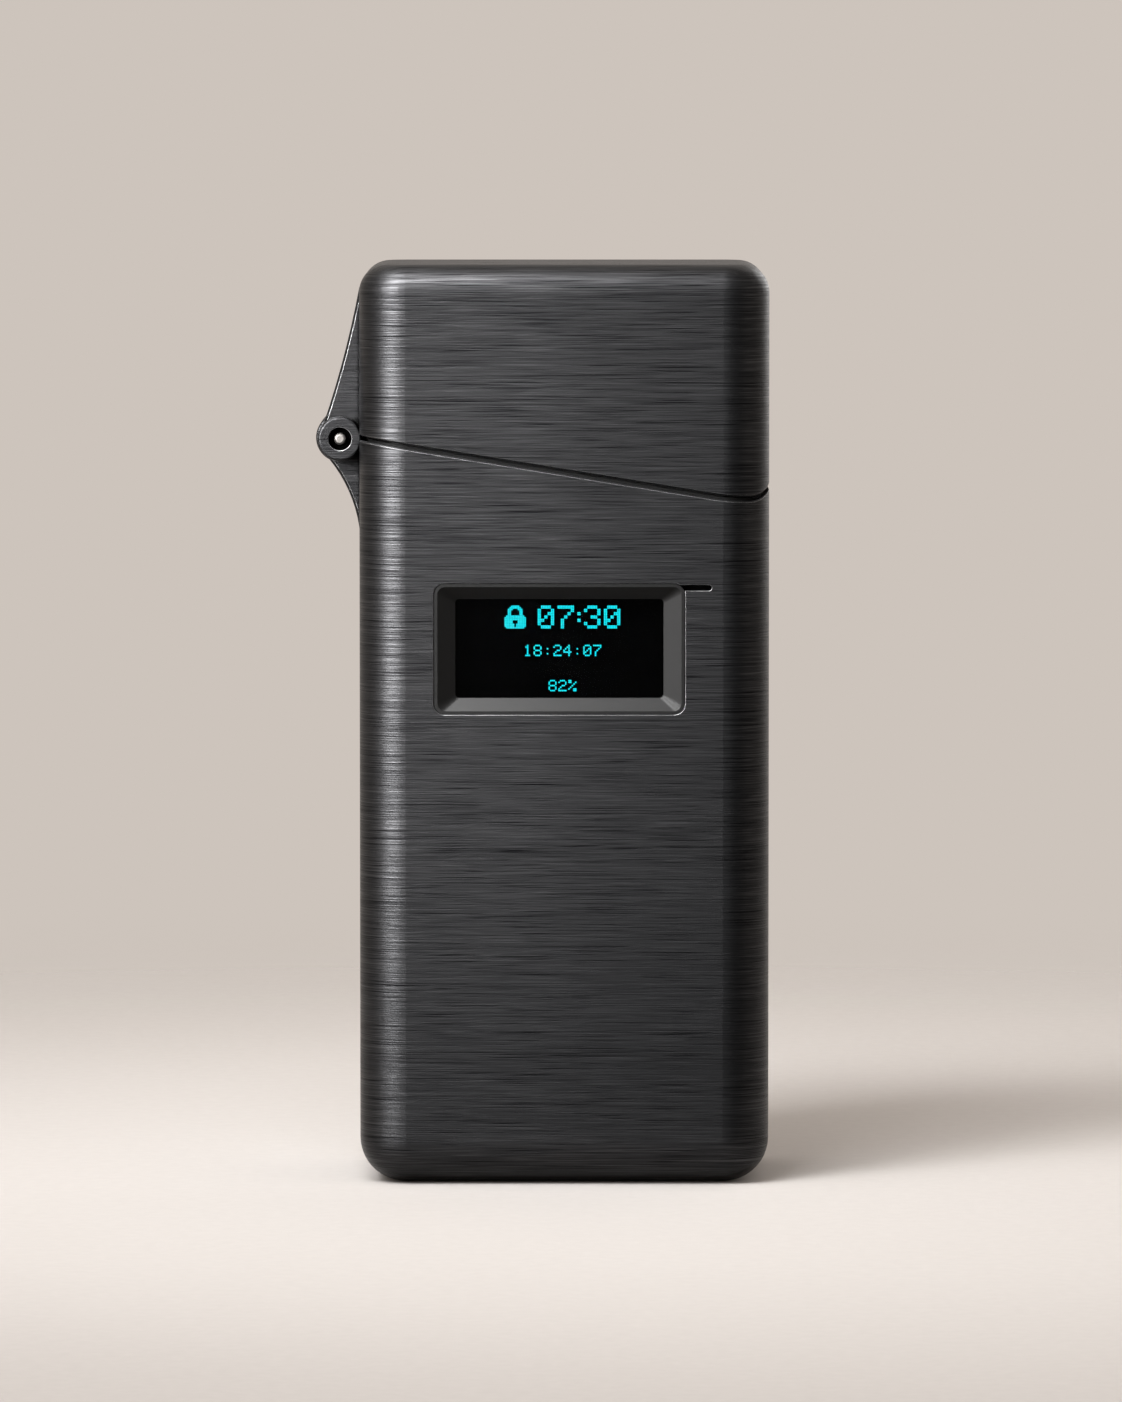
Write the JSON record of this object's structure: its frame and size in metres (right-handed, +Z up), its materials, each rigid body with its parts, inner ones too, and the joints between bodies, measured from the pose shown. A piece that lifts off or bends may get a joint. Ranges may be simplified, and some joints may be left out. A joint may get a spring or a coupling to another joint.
{
  "type": "timed lock container",
  "caption": "Small upright metal lock case with a display, a side-hinged lid and a motor-driven latch that frees the lid's hook when the set time has run out.",
  "frame": {"origin": "centre of the case's underside, on the surface that it stands on", "axes": "+Z up, along the case's height; -Y out of the front, where the display is; +X to the right, away from the hinge"},
  "size_m": [0.0631, 0.0363, 0.128],
  "materials": {
    "black_anodised": "brushed black anodised, fine horizontal grain",
    "pin_steel": "turned steel",
    "bezel_plastic": "moulded, satin",
    "lens_glass": "smoked, polished",
    "display_panel": "polished black display panel",
    "foam": "fine foam",
    "circuit_board": "solder mask over fibreglass",
    "ribbon_film": "polyimide film",
    "screw_steel": "blackened steel",
    "black_silicone": "soft moulded silicone",
    "liner_plastic": "moulded, fine texture",
    "battery_wrap": "foil pouch",
    "adhesive_foam": "adhesive foam",
    "motor_steel": "drawn steel can",
    "cradle_plastic": "glass-filled nylon",
    "latch_steel": "stamped and tumbled steel",
    "magnet_nickel": "nickel plated",
    "lead_insulation": "silicone insulation",
    "connector_plastic": "moulded nylon",
    "shield_steel": "tinned shield can",
    "component_plastic": "moulded epoxy",
    "button_metal": "turned, black anodised",
    "cover_plastic": "moulded, fine texture"
  },
  "bodies": {
    "case": {"body_shell": "black_anodised", "hinge_pin": "pin_steel", "bezel": "bezel_plastic", "display_lens": "lens_glass", "lens_gasket": "foam", "oled_glass": "display_panel", "display_board": "circuit_board", "display_screws": "screw_steel", "display_flex": "ribbon_film", "lid_sensor": "component_plastic", "battery": "battery_wrap", "battery_pad": "adhesive_foam", "battery_leads": "lead_insulation", "lock_motor": "motor_steel", "motor_cradle": "cradle_plastic", "cradle_screws": "screw_steel", "motor_leads": "lead_insulation", "pocket_liner": "liner_plastic", "rim_seal": "black_silicone", "main_board": "circuit_board", "board_connectors": "connector_plastic", "controller_module": "shield_steel", "buzzer": "component_plastic", "usb_socket": "shield_steel", "set_switch": "component_plastic", "board_screws": "screw_steel", "base_cover": "cover_plastic", "base_screws": "screw_steel"},
    "lid": {"lid_shell": "black_anodised", "lid_liner": "liner_plastic", "lid_hook": "latch_steel", "hook_screws": "screw_steel", "lid_magnet": "magnet_nickel"},
    "lock_cam": {"lock_cam": "latch_steel", "lock_shaft": "pin_steel"},
    "set_button": {"set_button": "button_metal"}
  },
  "joints": [
    {"name": "lid_hinge", "type": "hinge", "parent": "case", "child": "lid", "pos_m": [-0.0312, 0, 0.10367], "axis": [0, -1, 0], "range_deg": [0, 180]},
    {"name": "lock_cam_turn", "type": "hinge", "parent": "case", "child": "lock_cam", "pos_m": [0.02156, -0.012, 0.0884], "axis": [0, 0, 1], "range_deg": [0, 90]},
    {"name": "set_button_press", "type": "slide", "parent": "case", "child": "set_button", "axis": [0, -1, 0], "range_m": [0, 0.0004], "stiffness_N_per_m": 2000, "springref_m": -0.0002}
  ]
}
